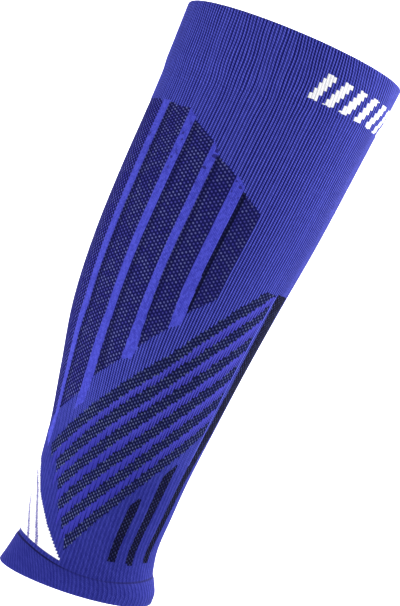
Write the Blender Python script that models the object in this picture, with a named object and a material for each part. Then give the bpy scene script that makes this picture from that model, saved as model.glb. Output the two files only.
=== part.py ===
# Calf compression sleeve in the form it has on the leg.
# One knitted tube runs from the ankle to below the knee, with a turned cuff at each end.
# Thinner mesh zones lie in shallow pockets of its outer face, and a white shield lies over
# the heel cord. +Z runs up the leg, +X is the shin side, and the two flanks are mirror images.
import math

import bmesh
import bpy
import numpy as np
from mathutils import Vector

for thing in list(bpy.data.objects):
    bpy.data.objects.remove(thing)

# Driving sizes, in metres
SLEEVE_LENGTH = 0.320       # ankle hem to top rim
CALF_DEPTH = 0.1165         # shin to calf at the fullest
ANKLE_DEPTH = 0.0760        # shin to heel cord at the narrowest
CENTRE_BEND = 0.0072        # how far the middle of the leg swings back
HEM_TILT = 0.0036           # the hem lies this much higher at the shin and lower at the heel
TUBE_WALL = 0.0018          # ribbed knit
MESH_WALL = 0.0007          # mesh zone or shield, lying in its pocket
CUFF_WALL = 0.0024          # two layers of rib, turned over
CUFF_PROUD = 0.0006         # the cuffs stand out this much from the tube
TOP_CUFF_HEIGHT = 0.0368
ANKLE_CUFF_HEIGHT = 0.0145
CLEARANCE = 0.0003          # between two pieces that touch
MESH_GAP = 0.00045          # round a mesh zone, measured on the flat pattern

# The pattern is drawn flat, then rolled round the leg. Its places are shares: round the leg
# from the shin, 0, past the flank, 0.25, to the calf, 0.5, and up the leg from hem to rim.
PATTERN_WIDTH = 0.330       # girth of the flat pattern
COLUMNS = 32                # facets round the leg
ROWS = 11                   # facets up the leg
CUFF_ROWS = 2               # facets up a cuff
RIM_STEPS = 3               # facets round a cuff's turned edge
EDGE_STEPS = 3              # straight runs in the leaning part of a bar's edge
SHARP_ANGLE = 40            # degrees past which an edge stays sharp

# Sections of the leg. swell is 0 at the ankle's depth and 1 at the calf's. bend is a share of
# CENTRE_BEND, towards the calf. flank is width over depth, and egg makes the shin side blunter.
#  height  swell   bend   flank   egg
SECTIONS = [
    (0.000, 0.13, 0.00, 0.78, 0.10),
    (0.025, 0.15, -0.32, 0.78, 0.12),
    (0.060, 0.03, -0.22, 0.77, 0.13),
    (0.100, 0.00, 0.02, 0.76, 0.16),
    (0.160, 0.07, 0.19, 0.77, 0.14),
    (0.240, 0.18, 0.40, 0.78, 0.12),
    (0.340, 0.41, 0.70, 0.79, 0.07),
    (0.450, 0.67, 1.00, 0.80, 0.02),
    (0.570, 0.86, 0.94, 0.80, 0.00),
    (0.700, 1.00, 0.62, 0.80, 0.00),
    (0.850, 1.09, 0.25, 0.80, 0.00),
    (1.000, 1.21, 0.00, 0.80, 0.00),
]
HEM_FADE = 0.25             # height share over which the hem's tilt dies out
TOP_SEAM_DIP = 0.22         # share of the top cuff's height that its seam drops at the calf
ANKLE_SEAM_RISE = 0.20      # share of the ankle cuff's height that its seam rises fore and aft

# Upright mesh bars of one flank. left is the edge nearer the calf and right the edge nearer
# the shin. Below knee an edge leans by its lean, all of it reached at the bar's bottom.
#  name       left    right   top_l   top_r   low_l   low_r   knee  lean_l   lean_r
BARS = [
    ("second", 0.4050, 0.3595, 0.8225, 0.8225, 0.272, 0.315, 0.46, 0.0320, 0.0215),
    ("third", 0.3435, 0.3000, 0.8080, 0.7850, 0.351, 0.399, 0.46, 0.0108, 0.0035),
    ("fourth", 0.2850, 0.2440, 0.7680, 0.7470, 0.427, 0.475, 0.55, -0.0054, -0.0051),
    ("fifth", 0.2245, 0.1805, 0.7300, 0.7040, 0.508, 0.552, 0.60, -0.0043, 0.0000),
]
# The back bar in the same columns. Its left is the calf's middle, where it is mirrored, and its
# foot comes to a point there.
BACK_BAR = ("back", 0.5000, 0.4225, 0.8225, 0.8225, 0.225, 0.263, 0.46, 0.0000, 0.0285)

# Slanted bands of one flank: height shares of the band's middle at these places round the leg
BAND_PLACES = (0.07, 0.14, 0.22, 0.30, 0.38, 0.44)
#  middle's height at each place                        calf end
BANDS = [
    ((0.612, 0.530, 0.4187, 0.3344, 0.2545, 0.197), 0.437),
    ((0.565, 0.476, 0.3736, 0.2896, 0.2050, 0.145), 0.404),
    ((0.508, 0.4216, 0.3278, 0.2422, 0.1570, 0.095), 0.383),
    ((0.451, 0.3708, 0.2773, 0.1915, 0.1060, 0.045), 0.365),
    ((0.397, 0.3207, 0.2275, 0.1396, 0.0580, 0.000), 0.342),
    ((0.345, 0.2699, 0.1765, 0.0869, 0.0170, 0.000), 0.319),
]
BAND_HEIGHT = 0.0091        # measured straight up the leg
BAND_END_SLANT = 0.0033     # how far its lower corner at the heel stands back
BAND_LIMITS = (0.0725, 0.594)   # place of the shin ends, and the height where a band is cut off

# Bars beside the shin: height share, edge nearer the calf, edge nearer the shin
LONG_SHIN_BAR = [
    (0.595, 0.0667, 0.0220),
    (0.500, 0.0625, 0.0150),
    (0.420, 0.0590, 0.0170),
    (0.330, 0.0660, 0.0280),
    (0.252, 0.0723, 0.0450),
    (0.157, 0.0823, 0.0590),
    (0.081, 0.0935, 0.0720),
]
MIDDLE_SHIN_BAR = [
    (0.252, 0.1250, 0.1095),
    (0.240, 0.1330, 0.1095),
    (0.160, 0.1378, 0.1190),
    (0.078, 0.1459, 0.1283),
]
SHORT_SHIN_BAR = [
    (0.190, 0.1720, 0.1638),
    (0.172, 0.1850, 0.1650),
    (0.130, 0.1890, 0.1700),
    (0.076, 0.1933, 0.1758),
]

# White shield over the heel cord: place round the leg and height share of its upper edge
SHIELD_EDGE = [
    (0.500, 0.193),
    (0.465, 0.174),
    (0.428, 0.131),
    (0.372, 0.087),
    (0.309, 0.047),
]
# Its lower edge, from its corner to the heel cord
SHIELD_FOOT = [
    (0.400, 0.055),
    (0.500, 0.060),
]

KNIT_BLUE = (0.065, 0.062, 0.420, 1.0)
CUFF_BLUE = (0.075, 0.072, 0.450, 1.0)
MESH_NAVY = (0.018, 0.018, 0.085, 1.0)
SHIELD_WHITE = (0.80, 0.80, 0.82, 1.0)
YARN_ROUGHNESS = 0.82


def make_material(name, colour):
    material = bpy.data.materials.new(name)
    material.use_nodes = True
    shader = material.node_tree.nodes["Principled BSDF"]
    shader.inputs["Base Color"].default_value = colour
    shader.inputs["Roughness"].default_value = YARN_ROUGHNESS
    shader.inputs["Metallic"].default_value = 0.0
    return material


def read_smooth(rows, column, height):
    """A column of a table at any height, along a smooth curve through its rows."""
    heights = [row[0] for row in rows]
    values = [row[column] for row in rows]
    last = len(rows) - 1
    height = min(max(height, heights[0]), heights[last])
    low = max(index for index in range(last) if heights[index] <= height)

    def slope(index):
        before = max(index - 1, 0)
        after = min(index + 1, last)
        return (values[after] - values[before]) / (heights[after] - heights[before])

    span = heights[low + 1] - heights[low]
    share = (height - heights[low]) / span
    rise = values[low + 1] - values[low]
    lead = slope(low) * span
    trail = slope(low + 1) * span
    bulge = lead + (3 * rise - 2 * lead - trail) * share + (lead + trail - 2 * rise) * share ** 2
    return values[low] + share * bulge


def section_outline(height, angles):
    """Points of the leg's section at a height share, for angles from the shin round the flank."""
    swell = read_smooth(SECTIONS, 1, height)
    centre = -CENTRE_BEND * read_smooth(SECTIONS, 2, height)
    flank = read_smooth(SECTIONS, 3, height)
    egg = read_smooth(SECTIONS, 4, height)
    half_depth = (ANKLE_DEPTH + (CALF_DEPTH - ANKLE_DEPTH) * swell) / 2
    x = centre + half_depth * np.cos(angles)
    y = -flank * half_depth * np.sin(angles) * (1 + egg * np.cos(angles))
    return x, y, centre


FULL_TURN = np.linspace(0, math.tau, 361)
turn_cache = {}


def angle_at(around, height):
    """The angle whose place round the section is this share of its length, from the shin."""
    key = round(height, 6)
    if key not in turn_cache:
        x, y, _ = section_outline(key, FULL_TURN)
        steps = np.hypot(np.diff(x), np.diff(y))
        travelled = np.concatenate([[0], np.cumsum(steps)])
        turn_cache[key] = travelled / travelled[-1]
    return float(np.interp(around % 1.0, turn_cache[key], FULL_TURN))


def on_leg(around, height, sink):
    """The point at a share round the leg and a share up it, sunk below the outer face."""
    level = min(max(height, 0.0), 1.0)
    angle = angle_at(around, level)
    nearby = np.array([angle - 0.001, angle, angle + 0.001])
    x, y, centre = section_outline(level, nearby)
    outward = Vector((y[0] - y[2], x[2] - x[0], 0)).normalized()
    tilt = HEM_TILT / (ANKLE_DEPTH / 2) * max(0.0, 1 - height / HEM_FADE)
    z = SLEEVE_LENGTH * height + tilt * (x[1] - centre)
    return Vector((x[1], y[1], z)) - outward * sink


def top_seam(around):
    """Height share of the top cuff's seam, which dips from the shin to the calf."""
    drop = TOP_CUFF_HEIGHT * TOP_SEAM_DIP * -math.cos(math.tau * around)
    return 1 - (TOP_CUFF_HEIGHT + drop) / SLEEVE_LENGTH


def ankle_seam(around):
    """Height share of the ankle cuff's seam, which is lowest on the flanks."""
    rise = ANKLE_CUFF_HEIGHT * ANKLE_SEAM_RISE * math.cos(2 * math.tau * around)
    return (ANKLE_CUFF_HEIGHT + rise) / SLEEVE_LENGTH


def score(bm):
    """Cuts lines over a flat plate, so that it can bend round the leg."""
    planes = [(Vector((PATTERN_WIDTH * i / COLUMNS, 0, 0)), Vector((1, 0, 0)))
              for i in range(1, COLUMNS)]
    planes += [(Vector((0, SLEEVE_LENGTH * i / ROWS, 0)), Vector((0, 1, 0)))
               for i in range(1, ROWS)]
    for place, normal in planes:
        everything = bm.verts[:] + bm.edges[:] + bm.faces[:]
        bmesh.ops.bisect_plane(bm, geom=everything, dist=1e-7, plane_co=place, plane_no=normal)


def roll(bm):
    """Rolls a flat plate round the leg."""
    for vert in bm.verts:
        flat = vert.co.copy()
        vert.co = on_leg(flat.x / PATTERN_WIDTH, flat.y / SLEEVE_LENGTH, -flat.z)


def make_plate(outline, sink_top, sink_bottom, inset):
    """A plate over an outline given in shares: thickened and scored flat, then rolled.

    Its faces are split while flat, so a panel and its pocket bend along the same lines."""
    bm = bmesh.new()
    corners = [bm.verts.new((a * PATTERN_WIDTH, h * SLEEVE_LENGTH, -sink_top)) for a, h in outline]
    face = bm.faces.new(corners)
    face.normal_update()
    if face.normal.z < 0:
        face.normal_flip()
    if inset > 0:
        rim = bmesh.ops.inset_region(bm, faces=[face], thickness=inset,
                                      use_boundary=True, use_even_offset=True)
        bmesh.ops.delete(bm, geom=rim["faces"], context="FACES")
    swept = bmesh.ops.extrude_face_region(bm, geom=bm.faces[:])
    moved = [item for item in swept["geom"] if isinstance(item, bmesh.types.BMVert)]
    bmesh.ops.translate(bm, verts=moved, vec=(0, 0, sink_top - sink_bottom))
    score(bm)
    bmesh.ops.triangulate(bm, faces=bm.faces[:])
    roll(bm)
    return bm


def make_ring(profile):
    """A ring round the leg. profile gives, for a place round it, its loop of (height, sink)."""
    bm = bmesh.new()
    loops = []
    for column in range(COLUMNS):
        around = column / COLUMNS
        loops.append([bm.verts.new(on_leg(around, height, sink)) for height, sink in profile(around)])
    for column in range(COLUMNS):
        here = loops[column]
        there = loops[(column + 1) % COLUMNS]
        for point in range(len(here)):
            after = (point + 1) % len(here)
            bm.faces.new((here[point], here[after], there[after], there[point]))
    return bm


def finish(bm, name, material):
    """Makes a closed body an object with its faces outwards."""
    bmesh.ops.remove_doubles(bm, verts=bm.verts, dist=2e-6)
    bmesh.ops.dissolve_degenerate(bm, edges=bm.edges, dist=1e-6)
    bmesh.ops.recalc_face_normals(bm, faces=bm.faces)
    mesh = bpy.data.meshes.new(name)
    bm.to_mesh(mesh)
    bm.free()
    mesh.shade_smooth()
    mesh.set_sharp_from_angle(angle=math.radians(SHARP_ANGLE))
    mesh.materials.append(material)
    piece = bpy.data.objects.new(name, mesh)
    bpy.context.collection.objects.link(piece)
    return piece


def mirrored(outline):
    """The same outline on the other flank."""
    return [(1 - around, height) for around, height in reversed(outline)]


def leaning_edge(place, top, low, knee, lean):
    """Points down one edge of a bar: straight to its knee, then leaning to its bottom."""
    points = [(place, top)]
    start = max(knee, low)
    for step in range(EDGE_STEPS + 1):
        share = step / EDGE_STEPS
        points.append((place + lean * share, start + (low - start) * share))
    return points


def bar_outline(row):
    _, left, right, top_l, top_r, low_l, low_r, knee, lean_l, lean_r = row
    left_edge = leaning_edge(left, top_l, low_l, knee, lean_l)
    right_edge = leaning_edge(right, top_r, low_r, knee, lean_r)
    return left_edge + right_edge[::-1]


def back_bar_outline():
    _, middle, right, top_m, top_r, low_m, low_r, knee, _, lean_r = BACK_BAR
    edge = leaning_edge(right, top_r, low_r, knee, lean_r)
    return edge + [(middle, low_m)] + mirrored(edge)


def band_outline(row):
    """A slanted band, cut off at its ceiling where it would run on above it."""
    heights, calf_end = row
    shin_end, ceiling = BAND_LIMITS

    def edge(offset, end):
        """One edge of the band, from the shin to its end by the heel."""
        levels = [height + offset for height in heights]
        start = max(shin_end, float(np.interp(-ceiling, [-level for level in levels], BAND_PLACES)))
        places = [start] + [place for place in BAND_PLACES if start < place < end] + [end]
        return [(place, float(np.interp(place, BAND_PLACES, levels))) for place in places]

    half_band = BAND_HEIGHT / 2 / SLEEVE_LENGTH
    upper = edge(half_band, calf_end)
    lower = edge(-half_band, calf_end - BAND_END_SLANT / PATTERN_WIDTH)
    return upper + lower[::-1]


def shin_bar_outline(rows):
    left_edge = [(left, height) for height, left, right in rows]
    right_edge = [(right, height) for height, left, right in rows]
    return left_edge + right_edge[::-1]


def shield_outline():
    flank = SHIELD_EDGE + SHIELD_FOOT
    return flank + mirrored(flank[1:-1])


def zone_outlines():
    """Every knitted-in zone by name: its outline on the pattern."""
    one_flank = {row[0] + "_mesh_bar": bar_outline(row) for row in BARS}
    one_flank.update({f"slanted_band_{i + 1}": band_outline(row) for i, row in enumerate(BANDS)})
    one_flank["long_shin_bar"] = shin_bar_outline(LONG_SHIN_BAR)
    one_flank["middle_shin_bar"] = shin_bar_outline(MIDDLE_SHIN_BAR)
    one_flank["short_shin_bar"] = shin_bar_outline(SHORT_SHIN_BAR)
    zones = {"back_mesh_bar": back_bar_outline(), "heel_shield": shield_outline()}
    for name, outline in one_flank.items():
        zones[name + "_right"] = outline
        zones[name + "_left"] = mirrored(outline)
    return zones


def tube_profile(around):
    """Outer face up, then inner face down, between the two cuffs' seams."""
    low = ankle_seam(around) + CLEARANCE / SLEEVE_LENGTH
    high = top_seam(around) - CLEARANCE / SLEEVE_LENGTH
    heights = [low] + [row / ROWS for row in range(1, ROWS - 1)] + [high]
    outer = [(height, 0.0) for height in heights]
    inner = [(height, TUBE_WALL) for height in reversed(heights)]
    return outer + inner


def cuff_profile(seam, fold, up):
    """A turned cuff from its seam to its folded edge. up is 1 at the top, -1 at the ankle."""
    radius = CUFF_WALL / 2
    middle = radius - CUFF_PROUD
    turn_start = fold - up * radius / SLEEVE_LENGTH
    outer = [(seam + (turn_start - seam) * row / CUFF_ROWS, -CUFF_PROUD) for row in range(CUFF_ROWS)]
    inner = [(height, CUFF_WALL - CUFF_PROUD) for height, _ in reversed(outer)]
    edge = []
    for step in range(RIM_STEPS + 1):
        angle = math.pi * step / RIM_STEPS
        height = turn_start + up * radius * math.sin(angle) / SLEEVE_LENGTH
        edge.append((height, middle - radius * math.cos(angle)))
    return outer + edge + inner


def main():
    blue = make_material("rib_knit", KNIT_BLUE)
    cuff_blue = make_material("cuff_knit", CUFF_BLUE)
    navy = make_material("mesh_knit", MESH_NAVY)
    white = make_material("shield_knit", SHIELD_WHITE)

    tube = finish(make_ring(tube_profile), "calf_tube", blue)
    finish(make_ring(lambda around: cuff_profile(top_seam(around), 1.0, 1)), "top_cuff", cuff_blue)
    finish(make_ring(lambda around: cuff_profile(ankle_seam(around), 0.0, -1)), "ankle_cuff", cuff_blue)

    pockets = bmesh.new()
    for name, outline in zone_outlines().items():
        plate = make_plate(outline, 0.0, MESH_WALL, MESH_GAP)
        finish(plate, name, white if name == "heel_shield" else navy)
        hollow = make_plate(outline, -TUBE_WALL, MESH_WALL + CLEARANCE, 0.0)
        loose = bpy.data.meshes.new("hollow")
        hollow.to_mesh(loose)
        hollow.free()
        pockets.from_mesh(loose)
        bpy.data.meshes.remove(loose)
    cutter = finish(pockets, "pocket_cutter", navy)
    cutter.hide_render = True
    cutter.display_type = "WIRE"

    cut = tube.modifiers.new("pockets", "BOOLEAN")
    cut.operation = "DIFFERENCE"
    cut.solver = "EXACT"
    cut.object = cutter


main()
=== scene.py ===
import math

import bpy
import numpy as np
from mathutils import Matrix, Vector


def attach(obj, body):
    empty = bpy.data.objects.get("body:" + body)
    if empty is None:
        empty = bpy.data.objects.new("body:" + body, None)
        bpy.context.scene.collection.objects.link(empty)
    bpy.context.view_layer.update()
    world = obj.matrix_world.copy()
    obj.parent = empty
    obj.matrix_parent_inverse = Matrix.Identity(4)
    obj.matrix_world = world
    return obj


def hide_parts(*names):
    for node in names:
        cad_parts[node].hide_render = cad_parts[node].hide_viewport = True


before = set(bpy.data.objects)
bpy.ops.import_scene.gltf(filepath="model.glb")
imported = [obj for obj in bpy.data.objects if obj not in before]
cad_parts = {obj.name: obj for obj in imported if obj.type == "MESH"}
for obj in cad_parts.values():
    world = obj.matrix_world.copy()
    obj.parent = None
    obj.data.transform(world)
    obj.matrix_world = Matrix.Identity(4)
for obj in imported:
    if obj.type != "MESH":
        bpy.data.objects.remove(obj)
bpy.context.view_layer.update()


# the leg that the knit is stretched over, in metres and shares of its length and girth
leg = {
    "length": 0.320,
    "calfDepth": 0.1165,
    "ankleDepth": 0.0760,
    "bend": 0.0072,
    "hemTilt": 0.0036,
    "hemFade": 0.25,
    "probe": 0.001,      # angle to the points on either side of one, which give the way it faces
    # height, swell from ankle to calf, bend, width over depth, egg shape
    "sections": [
        (0.000, 0.13, 0.00, 0.78, 0.10),
        (0.025, 0.15, -0.32, 0.78, 0.12),
        (0.060, 0.03, -0.22, 0.77, 0.13),
        (0.100, 0.00, 0.02, 0.76, 0.16),
        (0.160, 0.07, 0.19, 0.77, 0.14),
        (0.240, 0.18, 0.40, 0.78, 0.12),
        (0.340, 0.41, 0.70, 0.79, 0.07),
        (0.450, 0.67, 1.00, 0.80, 0.02),
        (0.570, 0.86, 0.94, 0.80, 0.00),
        (0.700, 1.00, 0.62, 0.80, 0.00),
        (0.850, 1.09, 0.25, 0.80, 0.00),
        (1.000, 1.21, 0.00, 0.80, 0.00),
    ],
    "topCuff": 0.0368,
    "topDip": 0.22,
    "ankleCuff": 0.0145,
    "ankleRise": 0.20,
}


# a curve through a column of the sections, read at any heights
def readSections(column, heights):
    rows = np.array(leg["sections"])
    places, values = rows[:, 0], rows[:, column]
    slopes = np.empty(len(rows))
    slopes[1:-1] = (values[2:] - values[:-2]) / (places[2:] - places[:-2])
    slopes[0] = (values[1] - values[0]) / (places[1] - places[0])
    slopes[-1] = (values[-1] - values[-2]) / (places[-1] - places[-2])
    low = np.clip(np.searchsorted(places, heights, side="right") - 1, 0, len(rows) - 2)
    span = places[low + 1] - places[low]
    share = (np.clip(heights, 0, 1) - places[low]) / span
    rise = values[low + 1] - values[low]
    lead, trail = slopes[low] * span, slopes[low + 1] * span
    bulge = lead + (3 * rise - 2 * lead - trail) * share + (lead + trail - 2 * rise) * share ** 2
    return values[low] + share * bulge


# points round the leg's sections, and the middle of each
def sectionPoints(angles, heights):
    swell, bend, flank, egg = (readSections(column, heights) for column in (1, 2, 3, 4))
    half = (leg["ankleDepth"] + (leg["calfDepth"] - leg["ankleDepth"]) * swell) / 2
    centre = -leg["bend"] * bend
    x = centre + half * np.cos(angles)
    y = -flank * half * np.sin(angles) * (1 + egg * np.cos(angles))
    return x, y, centre


# angles for equal steps of cloth round the leg, at a fine row of heights
fine = {"heights": 321, "turns": 721, "around": 1441}
fineHeights = np.linspace(0, 1, fine["heights"])
fineTurns = np.linspace(0, math.tau, fine["turns"])
fineAround = np.linspace(0, 1, fine["around"])
gridAngles, gridHeights = np.meshgrid(fineTurns, fineHeights)
sectionX, sectionY, _ = sectionPoints(gridAngles, gridHeights)
travelled = np.cumsum(np.hypot(np.diff(sectionX, axis=1), np.diff(sectionY, axis=1)), axis=1)
travelled = np.hstack([np.zeros((len(fineHeights), 1)), travelled])
turnTable = np.array([np.interp(fineAround, row / row[-1], fineTurns) for row in travelled])


# puts points of the flat knit on the leg; out is how far they stand out from its face
def wrapOnLeg(around, height, out):
    level = np.clip(height, 0, 1)
    turns = np.floor(around)
    column = (around - turns) * (len(fineAround) - 1)
    row = level * (len(fineHeights) - 1)
    c0 = np.clip(column.astype(int), 0, len(fineAround) - 2)
    r0 = np.clip(row.astype(int), 0, len(fineHeights) - 2)
    fc, fr = column - c0, row - r0
    angle = (turnTable[r0, c0] * (1 - fc) + turnTable[r0, c0 + 1] * fc) * (1 - fr)
    angle += (turnTable[r0 + 1, c0] * (1 - fc) + turnTable[r0 + 1, c0 + 1] * fc) * fr
    angle += math.tau * turns
    x, y, centre = sectionPoints(angle, level)
    x1, y1, _ = sectionPoints(angle + leg["probe"], level)
    x0, y0, _ = sectionPoints(angle - leg["probe"], level)
    nx, ny = y0 - y1, x1 - x0
    size = np.hypot(nx, ny)
    tilt = leg["hemTilt"] / (leg["ankleDepth"] / 2) * np.maximum(0, 1 - height / leg["hemFade"])
    z = leg["length"] * height + tilt * (x - centre)
    return np.stack([x + nx / size * out, y + ny / size * out, z], axis=-1)


# heights of the seams where the cuffs start
def topSeam(around):
    drop = -leg["topCuff"] * leg["topDip"] * np.cos(math.tau * around)
    return 1 - (leg["topCuff"] + drop) / leg["length"]


def ankleSeam(around):
    rise = leg["ankleCuff"] * leg["ankleRise"] * np.cos(2 * math.tau * around)
    return (leg["ankleCuff"] + rise) / leg["length"]


# the knit: stitches round and up the whole leg, and how deep the gaps between ribs are
knit = {
    "wales": 192,
    "courses": 290,
    "firstCourse": 13,
    "tubeCourses": 244,
    "perWale": 4,        # faces across a wale
    "ribShape": (-1.0, -0.12, 0.10, -0.12),
    "ribGap": 0.00036,
    "ankleGap": 0.00026,
    "meshSink": 0.00016,
    "shinFull": 0.0006,
    "closeFrom": 0.36,   # between these heights every second gap closes up, by this share
    "closeTo": 0.20,
    "closeShare": 0.7,
    "bendLow": 0.12,     # heights over which the courses bend to the seams
    "bendHigh": 0.18,
    "weld": 0.00001,
}


def deselectAll():
    if bpy.context.mode != "OBJECT":
        bpy.ops.object.mode_set(mode="OBJECT")
    bpy.ops.object.select_all(action="DESELECT")


def workOn(piece):
    deselectAll()
    piece.select_set(True)
    bpy.context.view_layer.objects.active = piece


# a flat chart, one unit square, as a knitter draws it; gives the column and row of each corner
def layChart(name, columns, rows):
    deselectAll()
    bpy.ops.mesh.primitive_grid_add(x_subdivisions=columns, y_subdivisions=rows, size=1,
                                    location=(0.5, 0.5, 0))
    chart = bpy.context.object
    chart.name = name
    bpy.ops.object.transform_apply(location=True, rotation=True, scale=True)
    flat = np.empty(len(chart.data.vertices) * 3)
    chart.data.vertices.foreach_get("co", flat)
    flat = flat.reshape(-1, 3)
    return chart, np.rint(flat[:, 0] * columns).astype(int), np.rint(flat[:, 1] * rows).astype(int)


# the column and row of each face of a chart
def chartCells(chart, columns, rows):
    middles = np.empty(len(chart.data.polygons) * 3)
    chart.data.polygons.foreach_get("center", middles)
    middles = middles.reshape(-1, 3)
    return (middles[:, 0] * columns).astype(int), (middles[:, 1] * rows).astype(int)


# writes the stitch places into the UV map and then moves the corners to the leg
def bendChart(chart, uvAround, uvHeight, places):
    mesh = chart.data
    corners = np.empty(len(mesh.loops), int)
    mesh.loops.foreach_get("vertex_index", corners)
    layer = mesh.uv_layers[0]
    layer.name = "knit"
    layer.data.foreach_set("uv", np.stack([uvAround[corners], uvHeight[corners]], axis=-1).ravel())
    mesh.vertices.foreach_set("co", places.ravel())
    mesh.update()


def closeSeam(chart):
    workOn(chart)
    bpy.ops.object.mode_set(mode="EDIT")
    bpy.ops.mesh.select_all(action="SELECT")
    bpy.ops.mesh.remove_doubles(threshold=knit["weld"])
    bpy.ops.object.mode_set(mode="OBJECT")
    bpy.ops.object.shade_smooth()


# a value for each face, which its material reads
def setFaceValues(chart, name, values):
    spot = chart.data.attributes.new(name, "FLOAT", "FACE")
    spot.data.foreach_set("value", values.astype(np.float32))


# rib relief across a wale: round on top, -1 in the gap
def ribRelief(column):
    return np.array(knit["ribShape"])[column % knit["perWale"]]


# near the ankle every second gap closes up
def gapDepth(column, height):
    gapNumber = np.rint(column / knit["perWale"]).astype(int)
    low = np.clip((knit["closeFrom"] - height) / (knit["closeFrom"] - knit["closeTo"]), 0, 1)
    depth = knit["ribGap"] + (knit["ankleGap"] - knit["ribGap"]) * low
    return depth * np.where(gapNumber % 2 == 1, 1 - knit["closeShare"] * low, 1.0)


# waves in the ribs: size in turns of the leg, waves round it, waves up it, and where they start
waves = {
    "rows": [(0.0007, 5, 2.7, 0.0), (0.0008, 11, -8.3, 1.3), (0.0003, 23, 17.0, 0.0)],
    "from": 0.82,        # small below this height and full a little above it
    "over": 0.06,
    "least": 0.12,
}


# hand-pulled cloth never runs quite straight
def wander(around, height):
    moved = 0
    for size, across, up, start in waves["rows"]:
        moved = moved + size * np.sin(math.tau * (across * around + up * height) + start)
    return moved * np.clip((height - waves["from"]) / waves["over"], waves["least"], 1)


# the knit lies a little fuller over the shin
def shinFullness(around):
    return knit["shinFull"] * (0.5 + 0.5 * np.cos(math.tau * around)) ** 2


# courses run level in the middle of the tube and follow the seams near its ends
def courseHeight(around, course):
    level = course / knit["courses"]
    low = knit["firstCourse"] / knit["courses"]
    high = (knit["firstCourse"] + knit["tubeCourses"]) / knit["courses"]
    nearLow = np.clip(1 - (level - low) / knit["bendLow"], 0, 1)
    nearHigh = np.clip(1 - (high - level) / knit["bendHigh"], 0, 1)
    eased = [near * near * (3 - 2 * near) for near in (nearLow, nearHigh)]
    return level + (ankleSeam(around) - low) * eased[0] + (topSeam(around) - high) * eased[1]


# knitted-in zones of one flank, as places round the leg and heights
zones = {
    "back_mesh_bar": [(0.4225, 0.8225), (0.4225, 0.46), (0.4510, 0.263), (0.5010, 0.2245), (0.5010, 0.8225)],
    "second_mesh_bar": [(0.4050, 0.8225), (0.4050, 0.46), (0.4370, 0.272), (0.3810, 0.315), (0.3595, 0.46),
                        (0.3595, 0.8225)],
    "third_mesh_bar": [(0.3435, 0.808), (0.3435, 0.46), (0.3543, 0.351), (0.3035, 0.399), (0.3000, 0.46),
                       (0.3000, 0.785)],
    "fourth_mesh_bar": [(0.2850, 0.768), (0.2850, 0.55), (0.2796, 0.427), (0.2389, 0.475), (0.2440, 0.55),
                        (0.2440, 0.747)],
    "fifth_mesh_bar": [(0.2245, 0.730), (0.2245, 0.60), (0.2202, 0.508), (0.1805, 0.552), (0.1805, 0.704)],
    "long_shin_bar": [(0.0667, 0.595), (0.0625, 0.500), (0.0590, 0.420), (0.0660, 0.330), (0.0723, 0.252),
                      (0.0823, 0.157), (0.0935, 0.081), (0.0720, 0.081), (0.0590, 0.157), (0.0450, 0.252),
                      (0.0280, 0.330), (0.0170, 0.420), (0.0150, 0.500), (0.0220, 0.595)],
    "middle_shin_bar": [(0.1130, 0.264), (0.1250, 0.252), (0.1340, 0.240), (0.1392, 0.160),
                        (0.1475, 0.073), (0.1270, 0.073), (0.1180, 0.160), (0.1090, 0.240),
                        (0.1085, 0.264)],
    "short_shin_bar": [(0.1720, 0.190), (0.1860, 0.172), (0.1905, 0.130), (0.1950, 0.072), (0.1745, 0.072),
                       (0.1690, 0.130), (0.1640, 0.172), (0.1638, 0.190)],
    "heel_shield": [(0.501, 0.193), (0.465, 0.174), (0.428, 0.131), (0.372, 0.087), (0.309, 0.047),
                    (0.310, 0.040), (0.501, 0.040)],
}

# smooth stripes between the upright bars
stripes = [
    [(0.4225, 0.826), (0.4225, 0.46), (0.4510, 0.263), (0.4700, 0.225), (0.4500, 0.205), (0.4370, 0.272),
     (0.4050, 0.46), (0.4050, 0.826)],
    [(0.3595, 0.824), (0.3595, 0.46), (0.3810, 0.315), (0.3870, 0.285), (0.3640, 0.305), (0.3543, 0.351),
     (0.3435, 0.46), (0.3435, 0.812)],
    [(0.3000, 0.788), (0.3000, 0.46), (0.3035, 0.399), (0.2840, 0.405), (0.2796, 0.427), (0.2850, 0.55),
     (0.2850, 0.772)],
    [(0.2440, 0.752), (0.2440, 0.55), (0.2389, 0.475), (0.2200, 0.490), (0.2202, 0.508), (0.2245, 0.60),
     (0.2245, 0.736)],
]

# slanted bands: height of each band's middle at these places, and where its calf end is
bands = {
    "places": (0.07, 0.14, 0.22, 0.30, 0.38, 0.44),
    "heights": [
        (0.612, 0.530, 0.4187, 0.3344, 0.2545, 0.197),
        (0.565, 0.476, 0.3736, 0.2896, 0.2050, 0.145),
        (0.508, 0.4216, 0.3278, 0.2422, 0.1570, 0.095),
        (0.451, 0.3708, 0.2773, 0.1915, 0.1060, 0.045),
        (0.397, 0.3207, 0.2275, 0.1396, 0.0580, 0.000),
        (0.345, 0.2699, 0.1765, 0.0869, 0.0170, 0.000),
    ],
    "ends": (0.437, 0.404, 0.383, 0.365, 0.342, 0.319),
    "depth": 0.0285,
    "shinEnd": 0.0725,
    "ceiling": 0.594,
    "endSlant": 0.010,
    "fingerEvery": 5,    # each fifth wale reaches this share of a course higher
    "finger": 0.6,
    "fieldPast": 0.012,  # the blue field runs on past the next band's end, and a little under it
    "fieldUnder": 0.001,
    "fieldLeast": 0.004,
    # the painted shade in the gaps between a field's ribs fades upward
    "toneStart": 1.35,   # gaps between the ribs of a field fade upward
    "toneFall": 1.6,
}

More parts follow.
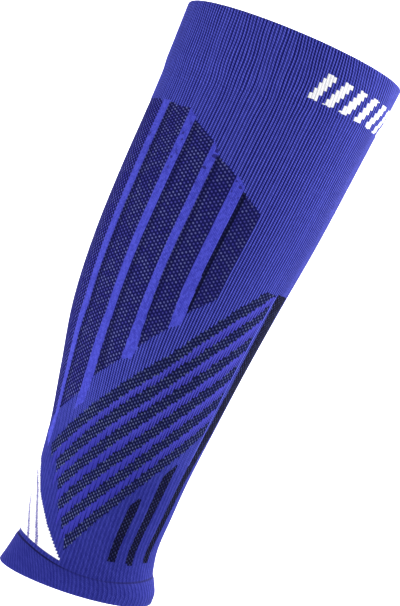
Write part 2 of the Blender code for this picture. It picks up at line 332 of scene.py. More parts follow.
# the shield starts this many courses above the seam; dashed lines run across it, and their width
# is measured on this girth, both in metres
shieldKnit = {
    "courses": 2,
    "girth": 0.22,
    "width": 0.0019,
    "lines": [
        [(0.501, 0.166), (0.466, 0.156), (0.444, 0.134), (0.428, 0.110), (0.411, 0.084), (0.387, 0.055)],
        [(0.501, 0.132), (0.480, 0.120), (0.465, 0.104), (0.447, 0.084), (0.424, 0.059)],
    ],
}

# dark edge of each upright bar, on its calf side; the second bar's leans below a height
barEdges = {
    "strengths": {"second_mesh_bar": 0.55, "third_mesh_bar": 0.55, "fourth_mesh_bar": 0.55,
                  "fifth_mesh_bar": 1.0},
    "wales": 1.7,
    "leanHeights": (0.25, 0.46),
    "leans": (0.036, 0.0),
}

# light rib beside the long shin bar
shinLine = {"wale": 13, "low": 0.27, "high": 0.59}


def insideOutline(outline, around, height):
    inside = np.zeros(around.shape, bool)
    for (a0, h0), (a1, h1) in zip(outline, outline[1:] + outline[:1]):
        if h0 == h1:
            continue
        between = (h0 > height) != (h1 > height)
        inside ^= between & (around < (a1 - a0) * (height - h0) / (h1 - h0) + a0)
    return inside


def nearLine(line, around, height):
    near = np.zeros(around.shape, bool)
    girth, length = shieldKnit["girth"], leg["length"]
    for (a0, h0), (a1, h1) in zip(line, line[1:]):
        p = np.stack([(around - a0) * girth, (height - h0) * length])
        d = np.array([(a1 - a0) * girth, (h1 - h0) * length])
        t = np.clip((p[0] * d[0] + p[1] * d[1]) / (d @ d), 0, 1)
        near |= np.hypot(p[0] - t * d[0], p[1] - t * d[1]) < shieldKnit["width"] / 2
    return near


# which zone each stitch of the chart belongs to, and its tone inside that zone
def chooseZones(column, course):
    wale = column // knit["perWale"]
    flankWale = np.where(wale < knit["wales"] // 2, wale, knit["wales"] - 1 - wale)
    side = np.where(wale < knit["wales"] // 2, "_right", "_left")
    around = (column + 0.5) / knit["wales"] / knit["perWale"]
    around = np.minimum(around, 1 - around)
    height = courseHeight(around, course + 0.5)
    zone = np.full(wale.shape, "rib", "<U24")
    tone = np.zeros(wale.shape)
    for outline in stripes:
        zone[insideOutline(outline, around, height)] = "stripe"

    # bands step down wale by wale
    step = (flankWale + 0.5) / knit["wales"]
    finger = np.where(flankWale % bands["fingerEvery"] == 0, bands["finger"], 0.0)
    half = bands["depth"] / 2
    for number, (heights, end) in enumerate(zip(bands["heights"], bands["ends"])):
        middle = np.interp(step, bands["places"], heights)
        top = middle + half + finger / knit["courses"]
        low = middle - half
        calfEnd = end - bands["endSlant"] * np.clip((top - height) / (top - low), 0, 1)
        inside = (around > bands["shinEnd"]) & (around < calfEnd)
        # blue field under this band, down to the next one
        if number + 1 < len(bands["heights"]):
            nextTop = np.interp(step, bands["places"], bands["heights"][number + 1]) + half
            nextEnd = bands["ends"][number + 1]
            field = inside & (around < nextEnd + bands["fieldPast"]) & (height < bands["ceiling"])
            field &= (height < low) & (height > nextTop - bands["fieldUnder"])
            zone[field] = "field"
            # the field's tone: how much of the painted gap shade it shows, less toward the band above
            share = np.clip((height - nextTop) / np.maximum(low - nextTop, bands["fieldLeast"]), 0, 1)
            tone[field] = np.clip(bands["toneStart"] - bands["toneFall"] * share, 0, 1)[field]
        band = inside & (height < top) & (height > low) & (height < bands["ceiling"])
        zone[band] = np.char.add(f"slanted_band_{number + 1}", side[band])

    for name, outline in zones.items():
        inside = insideOutline(outline, around, height)
        if name == "heel_shield":
            inside &= course >= knit["firstCourse"] + shieldKnit["courses"]
        if name in ("back_mesh_bar", "heel_shield"):
            zone[inside] = name
        else:
            zone[inside] = np.char.add(name, side[inside])
    for name, strength in barEdges["strengths"].items():
        edge = zones[name][0][0]
        if name == "second_mesh_bar":
            edge = edge + np.interp(height, barEdges["leanHeights"], barEdges["leans"])
        mine = np.char.startswith(zone, name)
        tone[mine & (around > edge - barEdges["wales"] / knit["wales"])] = strength
    shield = zone == "heel_shield"
    for line in shieldKnit["lines"]:
        tone[shield & nearLine(line, around, height)] = 1
    beside = (height > shinLine["low"]) & (height < shinLine["high"])
    tone[(zone == "rib") & (flankWale == shinLine["wale"]) & beside] = 1
    return zone, tone


# relief of each zone: how far its ground lies in, and how much of the ribs it keeps
zoneRelief = {
    "rib": (0, 1.0),
    "stripe": (-0.00022, 0.08),
    "field": (-0.00006, 0.40),
    "shield": (-0.00004, 0.25),
    "mesh": (knit["meshSink"], 0.30),
}


def knitTube():
    columns, rows = knit["wales"] * knit["perWale"], knit["tubeCourses"]
    chart, column, row = layChart("knitChart", columns, rows)
    faceColumn, faceRow = chartCells(chart, columns, rows)
    zone, tone = chooseZones(faceColumn, faceRow + knit["firstCourse"])
    around = column / columns
    course = row + knit["firstCourse"]
    height = courseHeight(around, course)

    # ground and rib share of each face, spread to the corners round it
    kinds = np.where(zone == "heel_shield", "shield", zone)
    kinds = np.where(np.isin(kinds, list(zoneRelief)), kinds, "mesh")
    ground = np.zeros((rows, columns))
    ribShare = np.zeros((rows, columns))
    ground[faceRow, faceColumn] = [zoneRelief[kind][0] for kind in kinds]
    ribShare[faceRow, faceColumn] = [zoneRelief[kind][1] for kind in kinds]
    spread = []
    for values in (ground, ribShare):
        padded = np.vstack([values[:1], values, values[-1:]])
        padded = np.hstack([padded[:, -1:], padded, padded[:, :1]])
        spread.append((padded[1:, 1:] + padded[:-1, 1:] + padded[1:, :-1] + padded[:-1, :-1]) / 4)
    out = -spread[0][row, column] + spread[1][row, column] * ribRelief(column) * gapDepth(column, height)
    out += shinFullness(around)
    places = wrapOnLeg(around + wander(around, height), height, out)
    bendChart(chart, around, course / knit["courses"], places)
    setFaceValues(chart, "tone", tone)

    # one material slot for each zone, and then a piece for each slot
    names = sorted(set(zone))
    for name in names:
        chart.data.materials.append(bpy.data.materials.new("zone " + name))
    slotOf = {name: index for index, name in enumerate(names)}
    chart.data.polygons.foreach_set("material_index", np.array([slotOf[name] for name in zone], np.int32))
    closeSeam(chart)
    bpy.ops.object.mode_set(mode="EDIT")
    bpy.ops.mesh.separate(type="MATERIAL")
    bpy.ops.object.mode_set(mode="OBJECT")
    pieces = {}
    for piece in list(bpy.context.selected_objects):
        used = piece.data.polygons[0].material_index
        name = piece.data.materials[used].name.replace("zone ", "")
        piece.data.materials.clear()
        piece.data.polygons.foreach_set("material_index", np.zeros(len(piece.data.polygons), np.int32))
        pieces[name] = piece
    for material in [m for m in bpy.data.materials if m.name.startswith("zone ")]:
        bpy.data.materials.remove(material)
    return pieces


# shader maths on sockets
class Wire:
    def __init__(self, tree, socket):
        self.tree = tree
        self.socket = socket

    def node(self, kind, settings, values, output=0):
        made = self.tree.nodes.new(kind)
        for key, value in settings.items():
            setattr(made, key, value)
        for key, value in values.items():
            if isinstance(value, Wire):
                self.tree.links.new(value.socket, made.inputs[key])
            else:
                made.inputs[key].default_value = value
        return Wire(self.tree, made.outputs[output])

    def maths(self, operation, *others):
        return self.node("ShaderNodeMath", {"operation": operation}, dict(enumerate((self, *others))))

    def __add__(self, other):
        return self.maths("ADD", other)

    def __radd__(self, other):
        return self.maths("ADD", other)

    def __sub__(self, other):
        return self.maths("SUBTRACT", other)

    def __rsub__(self, other):
        return self.node("ShaderNodeMath", {"operation": "SUBTRACT"}, {0: other, 1: self})

    def __mul__(self, other):
        return self.maths("MULTIPLY", other)

    def __rmul__(self, other):
        return self.maths("MULTIPLY", other)

    def __truediv__(self, other):
        return self.maths("DIVIDE", other)

    def __abs__(self):
        return self.maths("ABSOLUTE")

    def __pow__(self, other):
        return self.maths("POWER", other)

    def floor(self):
        return self.maths("FLOOR")

    def fract(self):
        return self.maths("FRACT")

    # 0 below start, 1 above end, smooth between; start may lie above end
    def ease(self, start, end):
        return self.node("ShaderNodeMapRange", {"interpolation_type": "SMOOTHSTEP"},
                         {"Value": self, "From Min": start, "From Max": end, "To Min": 0.0, "To Max": 1.0})

    # this wire as a factor between two colours
    def blend(self, first, second):
        return self.node("ShaderNodeMix", {"data_type": "RGBA"}, {0: self, 6: first, 7: second}, output=2)


def rgb(red, green, blue):
    def linear(value):
        value /= 255
        return value / 12.92 if value <= 0.04045 else ((value + 0.055) / 1.055) ** 2.4
    return (linear(red), linear(green), linear(blue), 1.0)


# values that all yarns share
yarn = {"sheenRoughness": 0.45, "cloudRoughness": 0.55}


# a yarn material to fill: its shader, wires for the place in the knit, and the zone's tone
def startYarn(name, look):
    material = bpy.data.materials.new(name)
    material.use_nodes = True
    tree = material.node_tree
    shader = tree.nodes["Principled BSDF"]
    shader.inputs["Roughness"].default_value = look["roughness"]
    shader.inputs["Specular IOR Level"].default_value = look["specular"]
    shader.inputs["Sheen Weight"].default_value = look["sheen"]
    shader.inputs["Sheen Roughness"].default_value = yarn["sheenRoughness"]
    shader.inputs["Sheen Tint"].default_value = look["sheenTint"]
    start = Wire(tree, None)
    place = start.node("ShaderNodeUVMap", {"uv_map": "knit"}, {})
    turns = start.node("ShaderNodeSeparateXYZ", {}, {0: place}, output=0)
    level = start.node("ShaderNodeSeparateXYZ", {}, {0: place}, output=1)
    tone = start.node("ShaderNodeAttribute", {"attribute_name": "tone"}, {}, output=2)
    wale, course = turns * float(knit["wales"]), level * float(knit["courses"])
    return material, shader, start, wale, course, level, tone


# cloudy change over the cloth, finer at a larger scale
def yarnClouds(start, scale, detail=2.0):
    spot = start.node("ShaderNodeTexCoord", {}, {}, output=3)
    values = {"Vector": spot, "Scale": scale, "Detail": detail, "Roughness": yarn["cloudRoughness"]}
    return start.node("ShaderNodeTexNoise", {}, values)


# a value of its own for each stitch
def stitchChance(start, column, row):
    cell = start.node("ShaderNodeCombineXYZ", {}, {0: column, 1: row, 2: 0.0})
    return start.node("ShaderNodeTexWhiteNoise", {"noise_dimensions": "2D"}, {"Vector": cell})


def finishYarn(start, shader, colour, height, strength, distance):
    start.tree.links.new(colour.socket, shader.inputs["Base Color"])
    bump = start.node("ShaderNodeBump", {}, {"Height": height, "Strength": strength, "Distance": distance})
    start.tree.links.new(bump.socket, shader.inputs["Normal"])


# ribs with slanted stitches, and painted shade in the dark gaps between them
def ribYarn(name, look):
    material, shader, start, wale, course, level, tone = startYarn(name, look)
    across = wale.fract() - 0.5
    fromCalf = abs(wale - knit["wales"] / 2)
    shin = fromCalf.ease(*look["shinWales"])
    calf = fromCalf.ease(*look["calfWales"])
    side = abs(across) * 2.0 + shin * look["shinGap"]
    gapNumber = (wale + 0.5).floor()
    oddGap = (gapNumber * 0.5).fract() * 2.0
    low = level.ease(knit["closeFrom"], knit["closeTo"])
    # painted shade in the gaps between the ribs: uneven from gap to gap, wider toward the shin and softer
    # toward the ankle
    gap = side.ease(look["gapStart"], look["gapEnd"]) * (1.0 - oddGap * low * look["closing"])
    clouds = yarnClouds(start, look["cloudScale"])
    uneven = stitchChance(start, gapNumber, 0.0)
    gap = gap * (look["plainGap"] + tone * look["toneGap"])
    gap = gap * (look["gapLeast"] + clouds * look["gapClouds"] + uneven * look["gapUneven"])
    gap = gap * (1.0 - low * look["ankleSoft"])
    # painted highlight along the crest where every second gap closes near the ankle
    crest = side.ease(look["crestFrom"], 1.0) * oddGap * low
    # the stitches' strokes, weaker at shin and calf
    slanted = course * look["courseShare"] + wale * look["slant"]
    plain = 1.0 - (shin + calf) * look["dashLoss"]
    dash = 0.5 + (0.5 - abs(slanted.fract() - 0.5) * 2.0) * plain
    gap = gap * (look["gapBase"] + dash * look["gapDash"])
    chance = stitchChance(start, wale.floor(), slanted.floor())
    light = dash * look["dash"] * (1.0 - low * look["lowDash"])
    light = light + chance * look["chance"] + clouds * look["clouds"]
    # painted highlight on those crests, and painted shade that darkens the ribs toward the ankle
    light = light + crest * look["crest"] - low * look["lowDark"]
    if look["line"]:
        light = light + tone * look["line"]
    body = light.ease(0.0, look["dash"] + look["chance"] + look["clouds"])
    colour = gap.blend(body.blend(look["shade"], look["light"]), look["gap"])
    mark, link = look["mark"], look["link"]
    if mark:
        white = light.ease(0.0, 1.0).blend(mark["shade"], mark["light"])
        colour = tone.blend(colour, (gap * mark["gap"]).blend(white, look["gap"]))
    # the real linking seam, drawn as a dark line of painted shade in its groove
    if link:
        colour = (tone * (link["least"] + side * link["side"])).blend(colour, link["colour"])
    ridge = 1.0 - gap
    height = ridge * look["ribRise"] + dash * look["dashRise"] * ridge
    finishYarn(start, shader, colour, height, look["bump"], look["relief"])
    return material


# dark mesh: lens-shaped stitches in a staggered net
def meshYarn(name, look):
    material, shader, start, wale, course, _, tone = startYarn(name, look)
    column = wale.floor()
    across = wale.fract() - 0.5
    stagger = (course + column + 0.5) * 0.5
    along = (stagger.fract() - 0.5) * 2.0
    # the stitch lies aslant in its cell
    x, y = across * look["cellWide"], along * look["cellTall"]
    turn = math.radians(look["turn"])
    wide = x * math.cos(turn) - y * math.sin(turn)
    tall = x * math.sin(turn) + y * math.cos(turn)
    lens = ((wide / look["halfWide"]) ** 2.0 + (tall / look["halfTall"]) ** 2.0) ** 0.5
    chance = stitchChance(start, column, stagger.floor())
    clouds = yarnClouds(start, look["cloudScale"])
    far = abs(wale - knit["wales"] / 2).ease(*look["farWales"])
    edge = tone * look["edgeDark"]
    dot = lens.ease(1.0, look["soft"]) * (1.0 - edge)
    dot = dot * (look["dotLeast"] + chance * look["dotChance"]) * (1.0 - far * look["farDim"])
    tint = (chance * look["tintChance"] + clouds * look["tintClouds"]).ease(*look["tintEase"])
    colour = dot.blend(edge.blend(look["ground"], look["edge"]), tint.blend(look["violet"], look["pale"]))
    finishYarn(start, shader, colour, dot, look["bump"], look["relief"])
    return material


# smooth stripes with a fine cross hatch, and a few dark specks near their tops
def stripeYarn(name, look):
    material, shader, start, wale, course, level, _ = startYarn(name, look)
    halfWale = wale * 2.0
    across = halfWale.fract() - 0.5
    along = (course + across * look["slant"]).fract() - 0.5
    stitch = 1.0 - abs(across) - abs(along)
    chance = stitchChance(start, halfWale.floor(), course.floor())
    clouds = yarnClouds(start, look["cloudScale"])
    light = stitch * look["stitch"] + chance * look["chance"] + clouds * look["clouds"]
    colour = light.ease(*look["lightEase"]).blend(look["shade"], look["light"])
    speck = yarnClouds(start, look["speckScale"], 0.0).ease(*look["speckEase"])
    speck = speck * level.ease(*look["speckLow"]) * level.ease(*look["speckHigh"])
    colour = (speck * look["specks"]).blend(colour, look["gap"])
    finishYarn(start, shader, colour, stitch, look["bump"], look["relief"])
    return material


# white shield with dashed lines
def shieldYarn(name, look):
    material, shader, start, wale, course, _, tone = startYarn(name, look)
    across = wale.fract() - 0.5
    along = (course + across).fract() - 0.5
    stitch = 1.0 - abs(across) - abs(along)
    chance = stitchChance(start, wale.floor(), course.floor())
    light = stitch * look["stitch"] + chance * look["chance"]
    colour = light.ease(*look["lightEase"]).blend(look["shade"], look["light"])
    colour = (tone * (look["lineLeast"] + chance * look["lineChance"])).blend(colour, look["line"])
    finishYarn(start, shader, colour, stitch, look["bump"], look["relief"])
    return material


# looks of the yarns; wales are counted from the middle of the calf
blueSheen = {
    "roughness": 0.82, "specular": 0.12, "sheen": 0.05, "sheenTint": rgb(140, 145, 255), "cloudScale": 45.0,
}
ribLook = blueSheen | {
    # the gap colour is painted shade in the gaps between the ribs
    "light": rgb(90, 97, 214), "shade": rgb(25, 29, 116), "gap": rgb(11, 12, 86),
    # where the painted gap shade starts beside a rib, and how much of it shows
    "gapStart": 0.32, "gapEnd": 0.72, "shinGap": 0.12, "plainGap": 1.0, "toneGap": 0.0,
    "closing": 0.75, "ankleSoft": 0.72,
    "gapLeast": 0.42, "gapClouds": 0.7, "gapUneven": 0.45, "gapBase": 0.72, "gapDash": 0.50,
    # the strokes of the stitches, 230 of them in one turn round the leg
    "slant": -230 / knit["wales"], "courseShare": 1.0, "dash": 1.10, "lowDash": 0.6, "dashLoss": 0.5,
    "shinWales": (knit["wales"] * 0.36, knit["wales"] * 0.46), "calfWales": (26.0, 10.0),
    "chance": 0.16, "clouds": 0.22, "crestFrom": 0.45, "crest": 0.26, "lowDark": 0.18,
    "mark": None, "link": None, "line": 0.0,
    "ribRise": 0.7, "dashRise": 0.3, "bump": 0.6, "relief": 0.00025,
}
fieldLook = ribLook | {
    "light": rgb(80, 78, 196), "shade": rgb(41, 41, 146), "plainGap": 0.12, "toneGap": 1.1, "ankleSoft": 0.1,
}
# white bars knitted into the cuff; gap is the share of the painted gap shade that shows on them
whiteMark = {"shade": rgb(205, 205, 218), "light": rgb(252, 252, 252), "gap": 0.22}
cuffLook = ribLook | {
    "mark": whiteMark, "gapStart": 0.31, "gapEnd": 0.71, "shinGap": 0.05, "courseShare": 0.76,
}
# the linking seam's dark line: painted shade of its groove
linkGrooveShade = {"colour": rgb(11, 10, 54), "least": 0.65, "side": 0.35}
ankleLook = ribLook | {"link": linkGrooveShade}
stripeLook = blueSheen | {
    "light": rgb(78, 81, 202), "shade": rgb(33, 36, 138), "gap": rgb(24, 20, 90),
    "slant": 0.8, "stitch": 0.7, "chance": 0.35, "clouds": 0.25, "lightEase": (0.1, 1.15),
    "specks": 0.8, "speckScale": 420.0, "speckEase": (0.66, 0.72), "speckLow": (0.68, 0.74),
    "speckHigh": (0.83, 0.79), "bump": 0.35, "relief": 0.00012,
}
meshLook = {
    "roughness": 0.90, "specular": 0.03, "sheen": 0.0, "sheenTint": rgb(150, 155, 255), "cloudScale": 60.0,
    "ground": rgb(18, 18, 72), "violet": rgb(72, 71, 160), "pale": rgb(95, 100, 162), "edge": rgb(7, 9, 30),
    # a stitch's cell and its lens, in millimetres, and its turn in degrees
    "cellWide": 1.72, "cellTall": 1.10, "halfWide": 0.68, "halfTall": 0.88, "turn": 54, "soft": 0.32,
    "dotLeast": 0.72, "dotChance": 0.28, "edgeDark": 0.8, "farWales": (26.0, 60.0), "farDim": 0.28,
    "tintChance": 0.6, "tintClouds": 0.8, "tintEase": (0.45, 0.95), "bump": 0.7, "relief": 0.00030,
}
bandLook = meshLook | {"ground": rgb(14, 17, 56), "violet": rgb(70, 77, 142), "pale": rgb(92, 102, 150)}
# the shin bars: the real dark mesh made darker still with painted shade on the shin side, most on the long
# bar
shinShadedLook = meshLook | {"ground": rgb(9, 10, 36), "violet": rgb(44, 46, 98), "pale": rgb(62, 68, 112)}
longShadedLook = meshLook | {"ground": rgb(5, 5, 20), "violet": rgb(38, 40, 88), "pale": rgb(58, 64, 114)}
backLook = meshLook | {"violet": rgb(70, 68, 180), "pale": rgb(88, 90, 184)}
shieldLook = {
    "roughness": 0.78, "specular": 0.25, "sheen": 0.15, "sheenTint": rgb(255, 255, 255),
    "light": rgb(250, 250, 250), "shade": rgb(222, 222, 230), "line": rgb(74, 66, 146),
    "stitch": 0.6, "chance": 0.4, "lightEase": (0.1, 0.9), "lineLeast": 0.70, "lineChance": 0.30,
    "bump": 0.3, "relief": 0.00012,
}

ribMaterial = ribYarn("rib knit", ribLook | {"line": 0.8})
fieldMaterial = ribYarn("field knit", fieldLook)
cuffMaterial = ribYarn("cuff knit", cuffLook)
ankleMaterial = ribYarn("ankle knit", ankleLook)
stripeMaterial = stripeYarn("stripe knit", stripeLook)
meshMaterial = meshYarn("mesh knit", meshLook)
bandMaterial = meshYarn("band knit", bandLook)
shinShadedMaterial = meshYarn("shin mesh knit", shinShadedLook)
longShadedMaterial = meshYarn("long shin mesh knit", longShadedLook)
backMaterial = meshYarn("back mesh knit", backLook)
shieldMaterial = shieldYarn("shield knit", shieldLook)
print("yarns mixed")


def dress(piece, name, material, slot, *nodes):
    piece.name = name
    piece.data.name = name
    piece.data.materials.append(material)
    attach(piece, "root")
    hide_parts(*nodes)


tubePieces = knitTube()
for name, piece in sorted(tubePieces.items()):
    if name == "rib":
        dress(piece, "ribKnit", ribMaterial, "rib_knit", "calf_tube")
    elif name == "stripe":
        dress(piece, "smoothStripes", stripeMaterial, "rib_knit", "calf_tube")
    elif name == "field":
        dress(piece, "bandFields", fieldMaterial, "rib_knit", "calf_tube")
    elif name == "heel_shield":
        dress(piece, "heelShield", shieldMaterial, "shield_knit", name)
    else:
        words = name.split("_")
        # the shin bars take the mesh darkened with painted shade
        material = {"back": backMaterial, "slanted": bandMaterial, "long": longShadedMaterial,
                    "middle": shinShadedMaterial, "short": shinShadedMaterial}.get(words[0], meshMaterial)
        newName = words[0] + "".join(word.capitalize() for word in words[1:])
        dress(piece, newName, material, "mesh_knit", name)
print("tube knitted:", len(tubePieces), "pieces")


# inside face of the tube, a thin closed wall behind the stitches
lining = {
    "columns": 96,
    "rows": 64,
    "outer": -0.0007,
    "inner": -0.0018,
    "clearance": 0.0003,
    "flatGirth": 0.225,
    "flatLength": 0.269,
}


def knitLining():
    columns, rows = lining["columns"], lining["rows"]
    lastRow = rows * 2 + 2
    chart, column, row = layChart("tubeLining", columns, lastRow)
    around = column / columns
    low = ankleSeam(around) + lining["clearance"] / leg["length"]
    high = topSeam(around) - lining["clearance"] / leg["length"]
    # up the outer side, over the edge, down the inner side and back to the start
    up = np.clip(row, 0, rows) / rows
    down = np.clip(row - rows - 1, 0, rows) / rows
    isInner = (row > rows) & (row < lastRow)
    height = np.where(isInner, high + (low - high) * down, low + (high - low) * up)
    height = np.where(row == lastRow, low, height)
    out = np.where(isInner, lining["inner"], lining["outer"]) + shinFullness(around)
    bendChart(chart, around, height, wrapOnLeg(around, height, out))
    setFaceValues(chart, "tone", np.zeros(len(chart.data.polygons)))
    closeSeam(chart)
    return chart


liningPiece = knitLining()
dress(liningPiece, "tubeLining", ribMaterial, "rib_knit", "calf_tube")
print("lining knitted")


# the turned cuff below the knee; its ribs lean round the leg, by these leans at these places
topCuff = {
    "outerRows": 68,
    "foldRows": 6,
    "innerRows": 10,
    "wall": 0.0024,
    "proud": 0.0006,
    "longer": 0.0004,
    "shinLonger": 0.0,
    "shinOut": 0.0,
    "stepFrom": 0.10,
    "stepTo": 0.30,
    "leanPlaces": (0.00, 0.05, 0.10, 0.15, 0.20, 0.25, 0.30, 0.35, 0.40, 0.45, 0.50, 0.65, 0.80, 0.90, 1.00),
    "leans": (0.15, 0.19, 0.21, 0.18, 0.12, 0.08, 0.06, 0.06, 0.05, 0.03, 0.02, 0.04, 0.08, 0.12, 0.15),
    "leanStart": 0.6,
    "leanGrowth": 4.4,
}

# slanted white bars knitted into the top cuff beside the shin
cuffMark = {"bars": 7, "first": 0.006, "pitch": 0.0300, "width": 0.0150, "low": 0.911, "high": 0.960,
            "slant": 0.018}

# both cuffs: how far round the changes at the shin reach, and the knit over the fold
cuffShape = {"longerSpread": 0.0036, "outSpread": 0.014, "foldFlat": 0.6, "foldStitch": 0.0028}


def knitCuff(name, look, seam, edge, shift, markCells):
    perWale = knit["perWale"]
    columns = knit["wales"] * perWale
    outer, fold, inner = look["outerRows"], look["foldRows"], look["innerRows"]
    rows = outer + fold + inner + 1
    chart, column, row = layChart(name, columns, rows)
    faceColumn, faceRow = chartCells(chart, columns, rows)
    around = column / columns
    radius = look["wall"] / 2
    direction = 1 if edge > 0.5 else -1
    shin = ((around + 0.5) % 1 - 0.5) ** 2
    longer = look["longer"] + look["shinLonger"] * np.exp(-shin / cuffShape["longerSpread"])
    turn = edge + direction * (longer - radius) / leg["length"]
    start = seam(around)
    isInner, isLast = row > outer + fold, row == rows
    inFold = np.clip((row - outer) / fold, 0, 1)
    inInner = np.clip((row - outer - fold) / inner, 0, 1)
    climb = np.clip(row / outer, 0, 1)
    height = start + (turn - start) * climb
    height = height + direction * radius / leg["length"] * np.sin(math.pi * inFold)
    height = np.where(isInner, turn + (start - turn) * inInner, height)
    # the cuff steps out a little above its seam
    step = np.clip((climb - look["stepFrom"]) / (look["stepTo"] - look["stepFrom"]), 0, 1)
    proud = look["proud"] * step * step * (3 - 2 * step)
    out = proud - radius * (1 - np.cos(math.pi * inFold))
    out = np.where(isInner, look["proud"] - look["wall"], out)
    out = out + ribRelief(column) * gapDepth(column, height) * (1 - cuffShape["foldFlat"] * inFold)
    # the last row closes the ring at its seam
    height = np.where(isLast, start, height)
    out = np.where(isLast, ribRelief(column) * gapDepth(column, start), out)
    away = np.clip((height - start) / (turn - start), 0, 1)
    out = out + shinFullness(around) + look["shinOut"] * np.exp(-shin / cuffShape["outSpread"]) * away ** 2
    leaned = around + wander(around, height) + shift(around, height)
    overFold = turn + direction * (row - outer) * cuffShape["foldStitch"]
    uvHeight = np.where(row <= outer, height, overFold)
    bendChart(chart, around, uvHeight, wrapOnLeg(leaned, height, out))
    faceAround = (faceColumn // perWale + 0.5) / knit["wales"]
    faceHeight = seam(faceAround) + (edge - seam(faceAround)) * (faceRow + 0.5) / outer
    leanedFace = faceAround + shift(faceAround, faceHeight)
    setFaceValues(chart, "tone", markCells(leanedFace, faceHeight, faceRow) * (faceRow < outer))
    if direction < 0:
        chart.data.flip_normals()
    closeSeam(chart)
    return chart


def leanTop(around, height):
    lean = np.interp(around % 1, topCuff["leanPlaces"], topCuff["leans"])
    above = np.maximum(0, height - topSeam(around))
    return lean * above * (topCuff["leanStart"] + topCuff["leanGrowth"] * above)


def markTop(around, height, _row):
    marked = np.zeros(around.shape)
    place = (around + 0.5) % 1 - 0.5
    share = (height - cuffMark["low"]) / (cuffMark["high"] - cuffMark["low"])
    for number in range(cuffMark["bars"]):
        left = cuffMark["first"] + number * cuffMark["pitch"] - share * cuffMark["slant"]
        marked[(share > 0) & (share < 1) & (place > left) & (place < left + cuffMark["width"])] = 1
    return marked


topPiece = knitCuff("topCuff", topCuff, topSeam, 1.0, leanTop, markTop)
dress(topPiece, "topCuff", cuffMaterial, "cuff_knit", "top_cuff")
print("top cuff knitted")

# the turned cuff at the ankle; link is the dark line along its seam, painted shade of the seam's groove, by
# the place on a flank
ankleCuff = {
    "outerRows": 16,
    "foldRows": 6,
    "innerRows": 6,
    "wall": 0.0024,
    "proud": 0.0006,
    "longer": 0.0004,
    "shinLonger": -0.0006,
    "shinOut": 0.0046,
    "stepFrom": 0.0,
    "stepTo": 0.12,
    "leanPlaces": (0.00, 0.10, 0.20, 0.25, 0.30, 0.35, 0.42, 0.50, 0.60, 0.80, 1.00),
    "leans": (0.50, 0.60, 0.70, 0.75, 0.90, 1.10, 1.36, 1.40, 1.20, 0.80, 0.50),
    "linkPlaces": (0.0, 0.14, 0.20, 0.28, 0.33, 0.5),
    "links": (0.65, 0.65, 0.25, 0.25, 1.0, 1.0),
}


def leanAnkle(around, height):
    below = np.maximum(0, ankleSeam(around) - height)
    return -np.interp(around % 1, ankleCuff["leanPlaces"], ankleCuff["leans"]) * below


# the real linking seam along the cuff's edge, darkened with painted shade of its groove, strongest toward
# the calf
def linkAnkle(around, _height, row):
    flank = np.minimum(around % 1, 1 - around % 1)
    strength = np.interp(flank, ankleCuff["linkPlaces"], ankleCuff["links"])
    return np.where(row == 0, strength, 0)


anklePiece = knitCuff("ankleCuff", ankleCuff, ankleSeam, 0.0, leanAnkle, linkAnkle)
dress(anklePiece, "ankleCuff", ankleMaterial, "cuff_knit", "ankle_cuff")
print("ankle cuff knitted")


# plain studio: a white floor that sweeps up into a wall, and soft light
studio = {
    "floor": -0.30,
    "wall": 2.6,
    "halfWidth": 5.0,
    "front": -3.0,
    "height": 4.5,
    "sweep": 1.0,
    "sweepSteps": 16,
    "near": 0.01,
    "paint": (0.93, 0.93, 0.93, 1),
    "roughness": 0.9,
    "air": 0.62,
    # name, place, what it is aimed at, size and power of each soft box
    "lamps": [
        ("frontBox", (0.75, -1.4, 0.70), (0, 0, 0.18), (1.0, 1.0), 6.5),
        ("calfBox", (-0.80, -0.25, -0.22), (0, 0, 0.0), (0.3, 0.2), 4.5),
        ("shinBox", (0.65, -0.05, 0.60), (0, 0, 0.30), (0.4, 0.4), 4.2),
        ("shinRim", (0.60, 0.36, 0.62), (0, 0, 0.32), (0.4, 0.4), 8),
        ("backdropBox", (0, 1.2, 1.6), (0, 2.4, 0.2), (2.5, 1.0), 100),
    ],
}


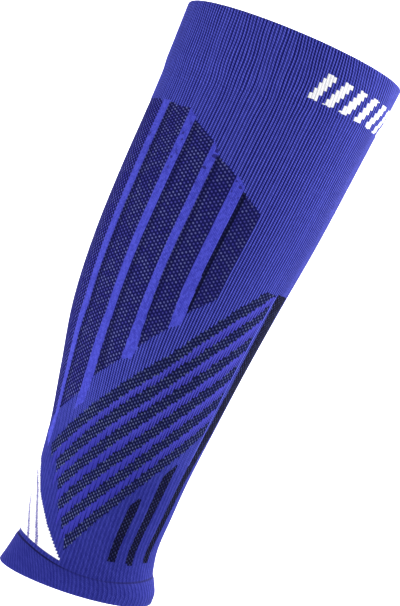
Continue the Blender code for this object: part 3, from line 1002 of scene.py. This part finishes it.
def buildStudio():
    deselectAll()
    wall, front, level = studio["wall"], studio["front"], studio["floor"]
    bpy.ops.mesh.primitive_plane_add(size=1, location=(0, (wall + front) / 2, level))
    floor = bpy.context.object
    floor.name = "studioFloor"
    bpy.ops.transform.resize(value=(studio["halfWidth"] * 2, wall - front, 1))
    bpy.ops.object.transform_apply(location=True, rotation=True, scale=True)
    bpy.ops.object.mode_set(mode="EDIT")
    bpy.ops.mesh.select_all(action="DESELECT")
    bpy.ops.object.mode_set(mode="OBJECT")
    for edge in floor.data.edges:
        ends = [floor.data.vertices[index].co.y for index in edge.vertices]
        edge.select = min(ends) > wall - studio["near"]
    bpy.ops.object.mode_set(mode="EDIT")
    bpy.ops.mesh.select_mode(type="EDGE")
    bpy.ops.mesh.extrude_region_move(TRANSFORM_OT_translate={"value": (0, 0, studio["height"])})
    bpy.ops.object.mode_set(mode="OBJECT")
    for edge in floor.data.edges:
        ends = [floor.data.vertices[index].co for index in edge.vertices]
        edge.select = all(max(abs(end.y - wall), abs(end.z - level)) < studio["near"] for end in ends)
    bpy.ops.object.mode_set(mode="EDIT")
    bpy.ops.mesh.bevel(offset=studio["sweep"], segments=studio["sweepSteps"], affect="EDGES")
    bpy.ops.mesh.select_all(action="SELECT")
    bpy.ops.mesh.normals_make_consistent(inside=False)
    bpy.ops.object.mode_set(mode="OBJECT")
    bpy.ops.object.shade_smooth()
    paint = bpy.data.materials.new("studio white")
    paint.use_nodes = True
    shader = paint.node_tree.nodes["Principled BSDF"]
    shader.inputs["Base Color"].default_value = studio["paint"]
    shader.inputs["Roughness"].default_value = studio["roughness"]
    floor.data.materials.append(paint)


buildStudio()


def softBox(name, place, aim, size, power):
    light = bpy.data.lights.new(name, "AREA")
    light.shape = "RECTANGLE"
    light.size, light.size_y = size
    light.energy = power
    lamp = bpy.data.objects.new(name, light)
    lamp.location = place
    lamp.rotation_euler = (Vector(aim) - Vector(place)).to_track_quat("-Z", "Y").to_euler()
    bpy.context.collection.objects.link(lamp)


for lampValues in studio["lamps"]:
    softBox(*lampValues)

world = bpy.data.worlds.new("studioAir")
world.use_nodes = True
world.node_tree.nodes["Background"].inputs["Color"].default_value = (1, 1, 1, 1)
world.node_tree.nodes["Background"].inputs["Strength"].default_value = studio["air"]
bpy.context.scene.world = world
bpy.context.scene.view_settings.view_transform = "Standard"

# the camera looks level at the flank and is rolled
view = {
    "place": (0, -0.7929, 0.1874),
    "aim": (0.00683, 0, 0.16987),
    "roll": 22.81,
    "lens": 84.96,
    "sensor": 36,
}
lens = bpy.data.cameras.new("photoCamera")
lens.sensor_width = view["sensor"]
lens.lens = view["lens"]
camera = bpy.data.objects.new("photoCamera", lens)
camera.location = view["place"]
aim = (Vector(view["aim"]) - Vector(view["place"])).to_track_quat("-Z", "Y")
camera.rotation_euler = (aim.to_matrix() @ Matrix.Rotation(math.radians(view["roll"]), 3, "Z")).to_euler()
bpy.context.collection.objects.link(camera)
bpy.context.scene.camera = camera
print("studio lit")
